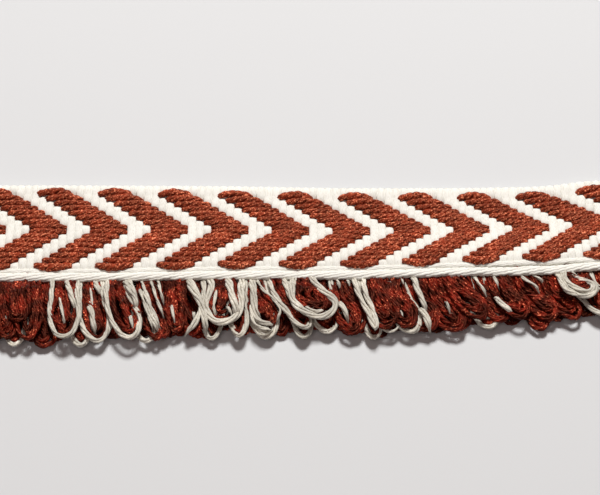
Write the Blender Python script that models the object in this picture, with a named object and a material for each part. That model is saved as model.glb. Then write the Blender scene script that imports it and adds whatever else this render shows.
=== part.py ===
"""A cut length of woven loop fringe: a flat heading with raised chevrons, and a looped fringe.

Metres, +Z up. X runs along the trim, +Y towards its plain edge and -Y towards the fringe. The origin
is on the heading's flat underside, on its centre line, and the trim lies on the surface z = 0.
"""

import math
from typing import NamedTuple

import bmesh
import bpy
from mathutils import Vector

MM = 0.001
NEAR = 0.001 * MM

# The weave: rust warp yarns float over five wefts and dive under three, one weft later in each row,
# and the first whole arm starts a little way in from the left cut
PICK = 1.275 * MM
ROW = 0.958 * MM
PICKS_IN_REPEAT = 8
PICKS_IN_FLOAT = 5
ROWS_IN_ARM = 8
REPEATS = 13

REPEAT = PICK * PICKS_IN_REPEAT
LENGTH = REPEAT * REPEATS
ARM_WIDTH = PICK * PICKS_IN_FLOAT
SLANT = PICK / ROW
FIRST_ARM = 1.3 * MM

# Across the trim: one plain row, two arms of eight rows, and two cord rows that hold the loops
PLAIN_ROWS = 1
CORD_ROWS = 2
BACK_EDGE = ROW * (PLAIN_ROWS + 2 * ROWS_IN_ARM + CORD_ROWS) / 2
ARM_BACK = BACK_EDGE - ROW * PLAIN_ROWS
APEX = ARM_BACK - ROW * ROWS_IN_ARM
ARM_FRONT = APEX - ROW * ROWS_IN_ARM
FRONT_EDGE = -BACK_EDGE

GROUND = 1.4 * MM
FLOAT_HEIGHT = 0.5 * MM
FLOAT_RAMP = 0.8 * MM
PIECE_GAP = 0.3 * MM

# The cord edge that the loops grow from
CORD_HEIGHT = 2.25 * MM
CORD_ROUNDING = 0.4 * MM
CORD_STEP = 2.6 * MM

# The loops are of one yarn, which fills the edge's height in three layers and lies looser beyond it
YARN_RADIUS = 0.37 * MM
ROOT_DEPTH = 0.9 * MM
LEVEL_BY = 3.6 * MM
NEST_GAP = 1.1 * MM
LOOP_SEGMENTS = 8
END_MARGIN = 2.7 * MM

# The heading lies flat behind this line, and its front edge is lifted a little off the surface
FLAT_TO = APEX - 2 * ROW


class Layer(NamedTuple):
    """A layer of loops: its height in the cord edge, and the height that it lies at, in mm."""

    root: float
    lying: float


FLOOR_LAYER = Layer(0.42, 0.40)
MIDDLE_LAYER = Layer(1.18, 1.32)
TOP_LAYER = Layer(1.94, 2.24)


class Lie(NamedTuple):
    """How the trim lies at one place along it, in mm."""

    along: float
    sideways: float
    front_lift: float


LIES = (
    Lie(-66.3, 0.1, 0.30),
    Lie(-46.0, 0.3, 0.30),
    Lie(-12.0, 0.1, 0.45),
    Lie(5.0, -0.3, 1.10),
    Lie(24.0, -0.3, 2.00),
    Lie(36.0, 0.0, 2.10),
    Lie(49.0, 1.3, 1.50),
    Lie(66.3, 1.9, 0.60),
)


class Loop(NamedTuple):
    """One loop of an upper layer: its root along the trim, reach and width in mm, lean in degrees."""

    root: float
    lean: float
    reach: float
    width: float
    yarns: int


LOOPS = (
    Loop(-49.0, 3, 11.6, 4.2, 2),
    Loop(-44.8, 3, 11.8, 4.4, 2),
    Loop(-39.9, 3, 11.7, 5.0, 2),
    Loop(-34.9, 6, 12.1, 4.7, 2),
    Loop(-30.4, 9, 10.9, 5.2, 2),
    Loop(-25.8, 9, 11.6, 3.9, 2),
    Loop(-22.0, 9, 10.4, 3.6, 1),
    Loop(-18.6, 2, 10.8, 3.8, 2),
    Loop(-12.6, -1, 9.5, 5.6, 3),
    Loop(-7.4, 9, 11.3, 4.8, 2),
    Loop(-4.0, 23, 10.7, 3.6, 1),
    Loop(0.5, 30, 8.6, 6.0, 3),
    Loop(6.0, 13, 10.3, 4.2, 2),
    Loop(9.6, 15, 11.4, 3.2, 1),
    Loop(13.4, 9, 10.2, 4.0, 2),
    Loop(16.6, 12, 10.6, 3.9, 2),
    Loop(19.4, 14, 10.2, 3.0, 1),
    Loop(23.5, 15, 10.4, 5.4, 3),
    Loop(28.2, 20, 10.4, 4.2, 2),
    Loop(32.2, 25, 9.0, 3.8, 2),
    Loop(36.6, 30, 9.3, 4.8, 2),
    Loop(41.9, 40, 6.8, 5.4, 3),
    Loop(47.3, 36, 8.6, 4.6, 2),
)
LOOPS_SPAN = 10 * REPEAT

# The layer on the surface is plainer, and only the ends of its loops show below the others
UNDER_LOOPS = 28
UNDER_WIDTH = 3.7
UNDER_REACH = 11.7
UNDER_WANDER = 0.6
UNDER_LEAN = 6
UNDER_MARGIN = 2.6 * MM


class Outline(NamedTuple):
    """A point of a loop's outline: its share of the reach, and of half the width."""

    out: float
    half: float


LOOP_OUTLINE = (
    Outline(0.00, 0.72),
    Outline(0.35, 0.84),
    Outline(0.70, 1.00),
    Outline(0.92, 0.70),
    Outline(1.00, 0.00),
)


def clear_scene():
    for old in list(bpy.data.objects):
        bpy.data.objects.remove(old, do_unlink=True)


def new_collection(name, hidden=False):
    collection = bpy.data.collections.new(name)
    collection.hide_render = hidden
    bpy.context.scene.collection.children.link(collection)
    return collection


def cloth_material(name, colour, roughness):
    material = bpy.data.materials.new(name)
    material.use_nodes = True
    shader = material.node_tree.nodes["Principled BSDF"]
    shader.inputs["Base Color"].default_value = (*colour, 1)
    shader.inputs["Roughness"].default_value = roughness
    shader.inputs["Metallic"].default_value = 0
    return material


def smooth(share):
    share = min(1, max(0, share))
    return share * share * (3 - 2 * share)


def hermite(start, end, slope_in, slope_out, share):
    """A value on the smooth curve from start to end that has these slopes at its ends."""
    square, cube = share**2, share**3
    return (
        start * (2 * cube - 3 * square + 1)
        + slope_in * (cube - 2 * square + share)
        + end * (3 * square - 2 * cube)
        + slope_out * (cube - square)
    )


def along_table(rows, key, value, place):
    """The smooth curve through one column of a table, read at a place in its key column."""
    keys = [getattr(row, key) for row in rows]
    values = [getattr(row, value) for row in rows]
    place = min(keys[-1], max(keys[0], place))
    last = len(rows) - 1
    i = max(k for k in range(last) if keys[k] <= place)
    slopes = []
    for k in (i, i + 1):
        before, after = max(0, k - 1), min(last, k + 1)
        slopes.append((values[after] - values[before]) / (keys[after] - keys[before]))
    step = keys[i + 1] - keys[i]
    share = (place - keys[i]) / step
    return hermite(values[i], values[i + 1], slopes[0] * step, slopes[1] * step, share)


def front_lift(x):
    return along_table(LIES, "along", "front_lift", x / MM) * MM


def sideways(x):
    return along_table(LIES, "along", "sideways", x / MM) * MM


def laid(point):
    """Where a point of the flat trim comes to when the trim lies as photographed."""
    rise = smooth((FLAT_TO - point.y) / (FLAT_TO - FRONT_EDGE))
    return Vector((point.x, point.y + sideways(point.x), point.z + front_lift(point.x) * rise))


def add_object(name, mesh, material, collection):
    obj = bpy.data.objects.new(name, mesh)
    mesh.materials.append(material)
    collection.objects.link(obj)
    return obj


# The heading: columns follow the arms' slant, so their edges are lines of the grid

HEADING_FRONT = ARM_FRONT + PIECE_GAP / 2
ROW_LINES = (
    (BACK_EDGE, False),
    (ARM_BACK, False),
    (ARM_BACK - FLOAT_RAMP, True),
    ((ARM_BACK + APEX) / 2, True),
    (APEX, True),
    (APEX - 2 * ROW, True),
    (APEX - 4 * ROW, True),
    (APEX - 5.5 * ROW, True),
    (ARM_FRONT + FLOAT_RAMP, True),
    (ARM_FRONT + PIECE_GAP, False),
    (HEADING_FRONT, False),
)
COLUMN_LINES = (
    (0, False),
    (FLOAT_RAMP, True),
    (ARM_WIDTH - FLOAT_RAMP, True),
    (ARM_WIDTH, False),
)


def slant_at(y):
    """How far the arms have moved along the trim at y: most at the apex."""
    inside = min(ARM_BACK, max(ARM_FRONT, y))
    return (ROW * ROWS_IN_ARM - abs(inside - APEX)) * SLANT


def heading_mesh():
    spare = 2
    columns = (REPEATS + 2 * spare) * len(COLUMN_LINES)
    start = FIRST_ARM - LENGTH / 2 - spare * REPEAT
    body = bmesh.new()
    bmesh.ops.create_grid(body, x_segments=columns, y_segments=len(ROW_LINES) - 1, size=0.5)
    for vertex in body.verts:
        repeat, line = divmod(round((vertex.co.x + 0.5) * columns), len(COLUMN_LINES))
        row = len(ROW_LINES) - 1 - round((vertex.co.y + 0.5) * (len(ROW_LINES) - 1))
        y, row_floats = ROW_LINES[row]
        offset, column_floats = COLUMN_LINES[line]
        raised = FLOAT_HEIGHT if row_floats and column_floats else 0
        vertex.co = (start + repeat * REPEAT + offset + slant_at(y), y, GROUND + raised)
    top = list(body.faces)
    made = bmesh.ops.extrude_face_region(body, geom=top, use_keep_orig=True)
    under = [item for item in made["geom"] if isinstance(item, bmesh.types.BMVert)]
    for vertex in under:
        vertex.co.z = 0
    bmesh.ops.recalc_face_normals(body, faces=body.faces)
    for side in (-1, 1):
        everything = list(body.verts) + list(body.edges) + list(body.faces)
        cut = bmesh.ops.bisect_plane(
            body,
            geom=everything,
            dist=NEAR / 10,
            plane_co=(side * LENGTH / 2, 0, 0),
            plane_no=(side, 0, 0),
            clear_outer=True,
        )
        rim = [item for item in cut["geom_cut"] if isinstance(item, bmesh.types.BMEdge)]
        bmesh.ops.edgeloop_fill(body, edges=rim)
    bmesh.ops.remove_doubles(body, verts=body.verts, dist=NEAR)
    flat_under = [
        face
        for face in body.faces
        if all(vertex.co.z < NEAR and vertex.co.y > FLAT_TO - NEAR for vertex in face.verts)
    ]
    bmesh.ops.dissolve_faces(body, faces=flat_under)
    for vertex in body.verts:
        vertex.co = laid(vertex.co)
    bmesh.ops.triangulate(body, faces=[face for face in body.faces if len(face.verts) == 4])
    bmesh.ops.recalc_face_normals(body, faces=body.faces)
    mesh = bpy.data.meshes.new("heading")
    body.to_mesh(mesh)
    body.free()
    return mesh


# The fringe: a cord edge, and yarn loops that grow from its front


def cord_edge_mesh():
    back = ARM_FRONT - PIECE_GAP / 2
    width = back - FRONT_EDGE
    body = bmesh.new()
    bmesh.ops.create_cube(body, size=1)
    for vertex in body.verts:
        vertex.co.x *= LENGTH
        vertex.co.y = vertex.co.y * width + (back + FRONT_EDGE) / 2
        vertex.co.z = (vertex.co.z + 0.5) * CORD_HEIGHT
    long_edges = [edge for edge in body.edges if edge.calc_length() > LENGTH / 2]
    bmesh.ops.bevel(
        body, geom=long_edges, offset=CORD_ROUNDING, segments=1, affect="EDGES", profile=0.5
    )
    long_edges = [edge for edge in body.edges if edge.calc_length() > LENGTH / 2]
    bmesh.ops.subdivide_edges(body, edges=long_edges, cuts=round(LENGTH / CORD_STEP))
    for vertex in body.verts:
        vertex.co = laid(vertex.co)
    mesh = bpy.data.meshes.new("cord_edge")
    body.to_mesh(mesh)
    body.free()
    return mesh


def outline_at(share, half_width, reach):
    """A point of a loop's outline, share 0 at its left root, 0.5 at its tip and 1 at its right root."""
    side = -1 if share < 0.5 else 1
    place = (1 - abs(2 * share - 1)) * (len(LOOP_OUTLINE) - 1)
    i = min(len(LOOP_OUTLINE) - 2, int(place))
    whole = [(row.out, row.half) for row in LOOP_OUTLINE]
    whole.append((LOOP_OUTLINE[-2].out, -LOOP_OUTLINE[-2].half))
    before = whole[max(0, i - 1)]
    start, end, after = whole[i], whole[i + 1], whole[i + 2]
    out, half = (
        hermite(start[k], end[k], (end[k] - before[k]) / 2, (after[k] - start[k]) / 2, place - i)
        for k in (0, 1)
    )
    return side * half * half_width, out * reach


def loop_line(loop, nest, layer):
    """The middle line of one yarn, from its left root round its tip to its right root."""
    half_width = loop.width * MM / 2 - nest * NEST_GAP
    reach = loop.reach * MM - nest * NEST_GAP * 1.2
    lean = math.radians(loop.lean)
    line = []
    for step in range(LOOP_SEGMENTS + 1):
        across, out = outline_at(step / LOOP_SEGMENTS, half_width, reach)
        x = loop.root * MM + across + out * math.tan(lean)
        root_z = layer.root * MM + front_lift(x)
        z = root_z + (layer.lying * MM - root_z) * smooth(out / LEVEL_BY)
        line.append(Vector((x, FRONT_EDGE - out + sideways(x), z)))
    for end in (0, -1):
        inside = line[end] + Vector((0, ROOT_DEPTH, 0))
        line.insert(0 if end == 0 else len(line), inside)
    return line


def upper_loops():
    """The photographed loops, and their like on the stretches that the photograph leaves out."""
    found = []
    for turn in (-1, 0, 1):
        for loop in LOOPS:
            root = loop.root + turn * LOOPS_SPAN / MM
            tip = root + loop.reach * math.tan(math.radians(loop.lean))
            room = (LENGTH / 2 - END_MARGIN) / MM
            if -room < root < room and tip < room:
                found.append(loop._replace(root=root))
    return sorted(found)


def under_loops():
    first = (UNDER_MARGIN - LENGTH / 2) / MM
    shift = UNDER_REACH * math.tan(math.radians(UNDER_LEAN))
    pitch = (-2 * first - shift) / (UNDER_LOOPS - 1)
    found = []
    for k in range(UNDER_LOOPS):
        reach = UNDER_REACH + UNDER_WANDER * math.sin(2.4 * k)
        found.append(Loop(first + k * pitch, UNDER_LEAN, reach, UNDER_WIDTH, 1))
    return found


def loop_lines():
    layers = [(loop, FLOOR_LAYER) for loop in under_loops()]
    for k, loop in enumerate(upper_loops()):
        layers.append((loop, TOP_LAYER if k % 2 else MIDDLE_LAYER))
    return [loop_line(loop, nest, layer) for loop, layer in layers for nest in range(loop.yarns)]


def yarn_mesh(lines):
    """All the loops as four-sided yarns with closed ends."""
    curve = bpy.data.curves.new("loop_yarns", "CURVE")
    curve.dimensions = "3D"
    curve.bevel_depth = YARN_RADIUS
    curve.bevel_resolution = 0
    curve.use_fill_caps = True
    for line in lines:
        spline = curve.splines.new("POLY")
        spline.points.add(len(line) - 1)
        for point, place in zip(spline.points, line):
            point.co = (*place, 1)
    guide = bpy.data.objects.new("loop_yarns", curve)
    bpy.context.scene.collection.objects.link(guide)
    bpy.context.view_layer.update()
    evaluated = guide.evaluated_get(bpy.context.evaluated_depsgraph_get())
    mesh = bpy.data.meshes.new_from_object(evaluated)
    bpy.data.objects.remove(guide)
    body = bmesh.new()
    body.from_mesh(mesh)
    bmesh.ops.remove_doubles(body, verts=body.verts, dist=NEAR)
    bmesh.ops.recalc_face_normals(body, faces=body.faces)
    body.to_mesh(mesh)
    body.free()
    return mesh


def build():
    clear_scene()
    trim = new_collection("fringe_trim")
    cutters = new_collection("joined_shapes", hidden=True)
    weave = cloth_material("woven_heading", (0.62, 0.36, 0.27), 0.8)
    yarn = cloth_material("loop_yarn", (0.45, 0.12, 0.07), 0.75)

    add_object("heading", heading_mesh(), weave, trim)
    fringe = add_object("loop_fringe", cord_edge_mesh(), yarn, trim)
    yarns = add_object("loop_yarns", yarn_mesh(loop_lines()), yarn, cutters)
    yarns.hide_render = True
    yarns.display_type = "WIRE"
    join = fringe.modifiers.new("loops_fused_at_their_roots", "BOOLEAN")
    join.operation = "UNION"
    join.solver = "EXACT"
    join.use_self = True
    join.object = yarns


build()
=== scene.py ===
# %% [markdown]
# # A woven loop fringe, yarn by yarn
# This script dresses a cut length of furnishing trim. Its frame is a plain solid model: a flat woven
# heading with raised chevrons, and a fringe of loops along its front edge. The weave could be painted on,
# but on a trim this small every yarn shows, so both parts are rebuilt as the yarns that they are made of.

# %% Load the frame
import math
import random
from typing import NamedTuple

import bpy
import numpy as np
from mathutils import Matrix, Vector, noise


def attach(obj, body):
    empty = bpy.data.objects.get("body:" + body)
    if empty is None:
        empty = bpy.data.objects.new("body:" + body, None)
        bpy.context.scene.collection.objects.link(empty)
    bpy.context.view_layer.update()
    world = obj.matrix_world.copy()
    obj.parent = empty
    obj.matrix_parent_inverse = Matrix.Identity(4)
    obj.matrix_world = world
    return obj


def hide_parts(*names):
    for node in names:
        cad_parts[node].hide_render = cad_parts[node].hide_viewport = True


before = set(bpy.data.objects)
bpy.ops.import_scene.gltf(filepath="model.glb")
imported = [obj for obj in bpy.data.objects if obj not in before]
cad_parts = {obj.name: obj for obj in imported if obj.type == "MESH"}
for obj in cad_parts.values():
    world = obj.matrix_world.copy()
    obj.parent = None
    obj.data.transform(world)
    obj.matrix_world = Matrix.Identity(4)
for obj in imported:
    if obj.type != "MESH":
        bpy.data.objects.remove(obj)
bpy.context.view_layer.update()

MM = 0.001

# %% [markdown]
# ## The sizes of the weave
# A weaver thinks in picks and ends. A pick is one pass of the weft across the trim, and an end is one
# warp yarn that runs along it. The rust ends float over five picks and dive under three. Each row starts
# its float one pick later than the row before, down to the middle, and then one pick earlier again. That
# shift alone draws the chevron, so the pattern is built from the same rule.

# %% Sizes of the weave
PICK = 1.275 * MM
ROW = 0.958 * MM
PICKS_IN_REPEAT = 8
PICKS_IN_FLOAT = 5
ROWS_IN_ARM = 8
ROWS = 2 * ROWS_IN_ARM
REPEAT = PICK * PICKS_IN_REPEAT
REPEATS = 13
LENGTH = REPEAT * REPEATS
FIRST_ARM = 1.3 * MM
ROWS_TO_EDGE = 9.5
FLAT_ROWS = 4

BACK_EDGE = ROW * ROWS_TO_EDGE
ARM_BACK = BACK_EDGE - ROW
ARM_FRONT = ARM_BACK - 2 * ROW * ROWS_IN_ARM
FRONT_EDGE = -BACK_EDGE
FLAT_TO = ARM_BACK - FLAT_ROWS * ROW
WEAVE_START = FIRST_ARM - LENGTH / 2
PICKS = round(LENGTH / PICK)
print(f"{PICKS} picks across a heading {2 * BACK_EDGE / MM:.1f} mm wide and {LENGTH / MM:.1f} mm long")

# %% [markdown]
# ## The camera
# The camera comes early, so that each piece can be looked at as it is made. A small thing photographed
# with a long lens shows almost no perspective, so the lens here is long and the camera stands well back.

# %% The camera
FRAME_WIDTH = 600
PIXELS_PER_MM = 6.0
CAMERA_HEIGHT_ANGLE = math.radians(55.7)
CAMERA_DISTANCE = 400 * MM
AIM = Vector((0, -2.15 * MM, 0))
SENSOR_WIDTH = 36


def add_camera():
    back = Vector((0, -math.cos(CAMERA_HEIGHT_ANGLE), math.sin(CAMERA_HEIGHT_ANGLE)))
    bpy.ops.object.camera_add(
        location=AIM + back * CAMERA_DISTANCE,
        rotation=(math.pi / 2 - CAMERA_HEIGHT_ANGLE, 0, 0),
    )
    camera = bpy.context.object
    camera.name = "camera"
    camera.data.sensor_width = SENSOR_WIDTH
    camera.data.lens = SENSOR_WIDTH * PIXELS_PER_MM * CAMERA_DISTANCE / MM / FRAME_WIDTH
    camera.data.clip_start = 10 * MM
    bpy.context.scene.camera = camera
    print(f"lens {camera.data.lens:.0f} mm, {CAMERA_DISTANCE / MM:.0f} mm away")


add_camera()

# %% [markdown]
# ## How the trim lies
# Nothing made of yarn lies dead straight. The trim bends a little in its own plane, its weave isn't quite
# even, and the loops bunched under its front edge lift it. A cloth simulation wouldn't find these same
# bends, so a short table holds them, in millimetres.


# %% The table of the lie
class Lie(NamedTuple):
    """The trim at one place: how far it is drawn along, how far four lines across it lie sideways of
    their even places, how high its front is lifted, and how far the loops reach."""

    along: float
    drawn: float
    back_edge: float
    pattern_back: float
    pattern_front: float
    front_edge: float
    front_lift: float
    loop_reach: float


LIES = (
    Lie(-66.3, 0.0, 0.1, -0.1, -0.18, -0.3, 0.30, 12.0),
    Lie(-46.0, 0.0, 0.3, 0.05, 0.03, -0.2, 0.30, 12.0),
    Lie(-34.0, -0.05, 0.25, 0.0, 0.02, -0.2, 0.32, 11.7),
    Lie(-12.0, -0.25, 0.1, -0.4, 0.35, 0.1, 0.45, 11.0),
    Lie(5.0, -0.4, -0.25, -0.9, 0.0, -0.35, 1.10, 10.6),
    Lie(16.0, -0.45, -0.3, -0.9, 0.0, -0.45, 1.65, 10.1),
    Lie(24.0, -0.6, -0.3, -0.9, 0.15, -0.4, 2.00, 9.2),
    Lie(36.0, -1.05, -0.1, -0.8, 0.7, -0.3, 2.10, 8.4),
    Lie(42.0, -1.15, 0.2, -0.5, 1.1, 0.1, 1.90, 8.5),
    Lie(49.0, -1.1, 1.2, 0.6, 1.65, 1.2, 1.40, 9.0),
    Lie(66.3, 0.0, 1.7, 1.2, 1.75, 1.7, 0.60, 10.3),
)
print(f"the front edge is lifted {max(row.front_lift for row in LIES)} mm at most")

# %% [markdown]
# ## A smooth curve through the table
# Straight steps between the rows would show as kinks in the long edges, so each column is read on a
# Hermite curve, which goes through every row with an even slope.


# %% A smooth curve through the table
def smooth(share):
    share = min(1, max(0, share))
    return share * share * (3 - 2 * share)


def through(start, end, slope_in, slope_out, share):
    square, cube = share**2, share**3
    return (
        start * (2 * cube - 3 * square + 1)
        + slope_in * (cube - 2 * square + share)
        + end * (3 * square - 2 * cube)
        + slope_out * (cube - square)
    )


def lie_at(x, column):
    """One column of the table at a place along the trim."""
    keys = [row.along * MM for row in LIES]
    values = [getattr(row, column) * MM for row in LIES]
    x = min(keys[-1], max(keys[0], x))
    last = len(LIES) - 1
    i = max(k for k in range(last) if keys[k] <= x)
    slopes = []
    for k in (i, i + 1):
        before, after = max(0, k - 1), min(last, k + 1)
        slopes.append((values[after] - values[before]) / (keys[after] - keys[before]))
    step = keys[i + 1] - keys[i]
    return through(values[i], values[i + 1], slopes[0] * step, slopes[1] * step, (x - keys[i]) / step)


print(f"the front edge is lifted {lie_at(0, 'front_lift') / MM:.2f} mm at the middle")

# %% [markdown]
# ## Laying a point down
# Every yarn is first drawn on a flat, straight trim, and each of its points is then moved to where it
# lies. A curve modifier could bend the finished meshes, but this keeps each yarn's thickness true.

# %% Laying a point down
LINES = (
    (BACK_EDGE, "back_edge"),
    (ARM_BACK, "pattern_back"),
    (ARM_FRONT, "pattern_front"),
    (FRONT_EDGE, "front_edge"),
)


def sideways(x, y):
    """How far the trim lies sideways at a place, even between the table's lines."""
    y = min(BACK_EDGE, max(FRONT_EDGE, y))
    for (start, before), (end, after) in zip(LINES, LINES[1:]):
        if y >= end:
            share = (start - y) / (start - end)
            return lie_at(x, before) * (1 - share) + lie_at(x, after) * share


def laid(point):
    """Where a point of the flat trim comes to."""
    x = point.x + lie_at(point.x, "drawn")
    rise = smooth((FLAT_TO - point.y) / (FLAT_TO - FRONT_EDGE))
    lift = lie_at(x, "front_lift") * rise
    return Vector((x, point.y + sideways(x, point.y), point.z + lift))


print(f"the back edge lies {sideways(0, BACK_EDGE) / MM:.2f} mm sideways")

# %% [markdown]
# ## Colours and a helper for nodes
# Colours are written as the sRGB hex values that a picture shows, and one function turns them to the
# linear values that Blender's sockets take. One more function adds a node, sets it up and links it.


# %% Colours and the node helper
def colour(hex_code):
    values = [int(hex_code[k : k + 2], 16) / 255 for k in (1, 3, 5)]
    linear = [v / 12.92 if v <= 0.04045 else ((v + 0.055) / 1.055) ** 2.4 for v in values]
    return (*linear, 1)


def node(material, kind, links=(), **settings):
    """Adds a node. A setting that names a socket sets its value, any other the node's own."""
    made = material.node_tree.nodes.new("ShaderNode" + kind)
    sockets = {socket.name.replace(" ", "_"): socket for socket in made.inputs}
    for name, value in settings.items():
        if name in sockets:
            sockets[name].default_value = value
        else:
            setattr(made, name, value)
    for source, target in links:
        material.node_tree.links.new(source, made.inputs[target])
    return made


def new_material(name, roughness, gloss):
    material = bpy.data.materials.new(name)
    material.use_nodes = True
    shader = material.node_tree.nodes["Principled BSDF"]
    shader.inputs["Roughness"].default_value = roughness
    shader.inputs["IOR"].default_value = 1.5
    shader.inputs["Specular IOR Level"].default_value = 0.35
    shader.inputs["Specular Tint"].default_value = colour(gloss)
    return material, shader


print("mid grey in linear light:", round(colour("#808080")[0], 3))

# %% [markdown]
# ## What the yarns are made of
# All the yarns are spun from short fibres. The eye reads that as fine streaks at a slant, tiny glints
# where single fibres catch the light, and dark lines between the plies. The shade between the fibres and
# the glints are painted into the colour. One table holds how the four kinds differ, so that one material
# can serve them all.


# %% The look of each yarn
class Yarn(NamedTuple):
    """How a yarn looks: its colours, with a painted shade between its fibres and painted glints, how rough
    it is, its fibres and glints in millimetres, and its ranges of tone and of painted shade and light.
    """

    base: str
    painted_fibre_shade: str
    bright: str
    gloss: str
    roughness: float
    streak: float
    glint: float
    glint_share: float
    bump: float
    shades: tuple
    painted_shade_patches: tuple


# Second colour: painted shade between the fibres; third: painted glints; last range: painted shade and
# light in patches
YARNS = {
    # Spun viscose in the heading: smooth round fibres, dull in the mass and full of small orange glints
    "rust_viscose": Yarn(
        "#8a3620", "#3a0d07", "#f0906a", "#ffa080", 0.50, 0.16, 0.26, 0.54, 0.10, (0.86, 1.10), (0.78, 1.30)
    ),
    # The same viscose in the loops, bulkier, with painted shade: deeper and redder colours, as the loops
    # lie in more shade
    "rust_viscose_loops": Yarn(
        "#6a1a10", "#1a0301", "#f58660", "#ff8c6c", 0.46, 0.13, 0.34, 0.59, 0.10, (0.62, 1.10), (0.26, 1.95)
    ),
    # Mercerised cotton of the heading: clean, bright and nearly flat in the light
    "cream_cotton": Yarn(
        "#ecece6", "#dddbd1", "#f6f6f2", "#ffffff", 0.85, 0.12, 0.50, 0.62, 0.03, (0.97, 1.02), (0.98, 1.01)
    ),
    # The softer cotton of the loops: greyer, with loose fibres that blur its edge
    "off_white_cotton": Yarn(
        "#dbd7cb", "#b3ab9b", "#f1eee6", "#ffffff", 0.85, 0.12, 0.60, 0.60, 0.08, (0.88, 1.05), (0.84, 1.10)
    ),
}
print("kinds of yarn:", ", ".join(YARNS))

# %% [markdown]
# ## The yarn material
# The pattern has to follow each yarn round its bends, so it reads the yarn's own UV map, which holds
# millimetres: U runs along the yarn and V round it. An attribute gives each yarn its own shade, as dye
# does, and a wide noise lays painted shade and light over whole patches. An even colour would look like
# plastic cord.

# %% The yarn material
# Real fibres are about 0.02 mm thick, too fine to show, so the streaks are drawn some six times wider
FIBRE_SLANT = math.radians(24)
STREAK_WIDTH_TO_LENGTH = 0.22
# Below this the streaks take the painted shade between the fibres, above the next the base colour
FIBRE_SHADE_BELOW = 0.36
BASE_ABOVE = 0.50
GLINT_EDGE = 0.10
# Takes each yarn's noise to a place of its own
YARNS_APART = 60
# A wide noise lays painted shade and light over patches of this size, at random
SHADE_PATCH_SIZE = 2.4
SHADE_PATCHES_FROM = 0.42
SHADE_PATCHES_TO = 0.68


def streaks_and_glints(material, look, place, seed):
    """The streaks of the fibres and the glints on them."""
    along = node(
        material,
        "Mapping",
        [(place.outputs[0], 0)],
        Rotation=(0, 0, FIBRE_SLANT),
        Scale=(STREAK_WIDTH_TO_LENGTH / look.streak, 1 / look.streak, 1),
    )
    streaks = node(
        material,
        "TexNoise",
        [(along.outputs[0], "Vector"), (seed.outputs[0], "W")],
        noise_dimensions="4D",
        Scale=1.0,
        Detail=3.0,
    )
    glint_noise = node(
        material,
        "TexNoise",
        [(place.outputs[0], "Vector"), (seed.outputs[0], "W")],
        noise_dimensions="4D",
        Scale=1 / look.glint,
        Detail=2.0,
    )
    return streaks, glint_noise


def painted_shade_and_glints(material, look, streaks, glint_noise):
    """Painted shade between the fibres, and a painted highlight where one glints."""
    ramp = node(material, "ValToRGB", [(streaks.outputs[0], 0)])
    painted_fibre_shade, base = ramp.color_ramp.elements
    painted_fibre_shade.position = FIBRE_SHADE_BELOW
    painted_fibre_shade.color = colour(look.painted_fibre_shade)
    base.position = BASE_ABOVE
    base.color = colour(look.base)
    glints = node(material, "MapRange", [(glint_noise.outputs[0], 0)])
    glints.inputs["From Min"].default_value = look.glint_share
    glints.inputs["From Max"].default_value = look.glint_share + GLINT_EDGE
    return node(
        material,
        "MixRGB",
        [(glints.outputs[0], "Fac"), (ramp.outputs[0], "Color1")],
        Color2=colour(look.bright),
    )


def tone_and_painted_shade(material, look, shade):
    """The yarn's own tone times the painted shade and light of the patch that it lies in."""
    tone = node(material, "MapRange", [(shade.outputs["Fac"], 0)])
    tone.inputs["To Min"].default_value = look.shades[0]
    tone.inputs["To Max"].default_value = look.shades[1]
    where = node(material, "TexCoord")
    scale = 1 / (SHADE_PATCH_SIZE * MM)
    painted_shade_patches = node(material, "TexNoise", [(where.outputs["Object"], 0)], Scale=scale, Detail=2.0)
    patch_shade = node(material, "MapRange", [(painted_shade_patches.outputs[0], 0)])
    patch_shade.inputs["From Min"].default_value = SHADE_PATCHES_FROM
    patch_shade.inputs["From Max"].default_value = SHADE_PATCHES_TO
    patch_shade.inputs["To Min"].default_value = look.painted_shade_patches[0]
    patch_shade.inputs["To Max"].default_value = look.painted_shade_patches[1]
    return node(material, "Math", [(tone.outputs[0], 0), (patch_shade.outputs[0], 1)], operation="MULTIPLY")


print("streaks slant by", round(math.degrees(FIBRE_SLANT)), "degrees")


# %% The whole material
def yarn_material(name):
    look = YARNS[name]
    material, shader = new_material(name, look.roughness, look.gloss)
    place = node(material, "UVMap")
    shade = node(material, "Attribute", attribute_name="shade")
    seed = node(material, "Math", [(shade.outputs["Fac"], 0)], operation="MULTIPLY")
    seed.inputs[1].default_value = YARNS_APART
    streaks, glint_noise = streaks_and_glints(material, look, place, seed)
    # The colour with painted shade between the fibres and painted glints, times tone and painted shade
    lit = painted_shade_and_glints(material, look, streaks, glint_noise)
    value = tone_and_painted_shade(material, look, shade)
    tinted = node(material, "HueSaturation", [(lit.outputs[0], "Color"), (value.outputs[0], "Value")])
    bump = node(material, "Bump", [(streaks.outputs[0], "Height")], Distance=look.bump * MM)
    material.node_tree.links.new(tinted.outputs[0], shader.inputs["Base Color"])
    material.node_tree.links.new(bump.outputs[0], shader.inputs["Normal"])
    return material


MATERIALS = {name: yarn_material(name) for name in YARNS}
print("yarn materials:", ", ".join(MATERIALS))

# %% [markdown]
# ## Strands as splines
# A strand could be a bent cylinder or a hair. Here it is one open spline with a width at every point, and
# a small closed curve gives it its cross-section, because that is exact about thickness.


# %% Strands as splines
class Strand(NamedTuple):
    """One strand: its middle line, its width at each point, and its shade from 0 to 1."""

    line: list
    widths: list
    shade: float


class Section(NamedTuple):
    """A strand's cross-section: half its width, half its height, and how many points go round it."""

    across: float
    high: float
    points: int


def deselect_all():
    bpy.ops.object.select_all(action="DESELECT")


def new_object(name, data):
    made = bpy.data.objects.new(name, data)
    bpy.context.scene.collection.objects.link(made)
    return made


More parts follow.
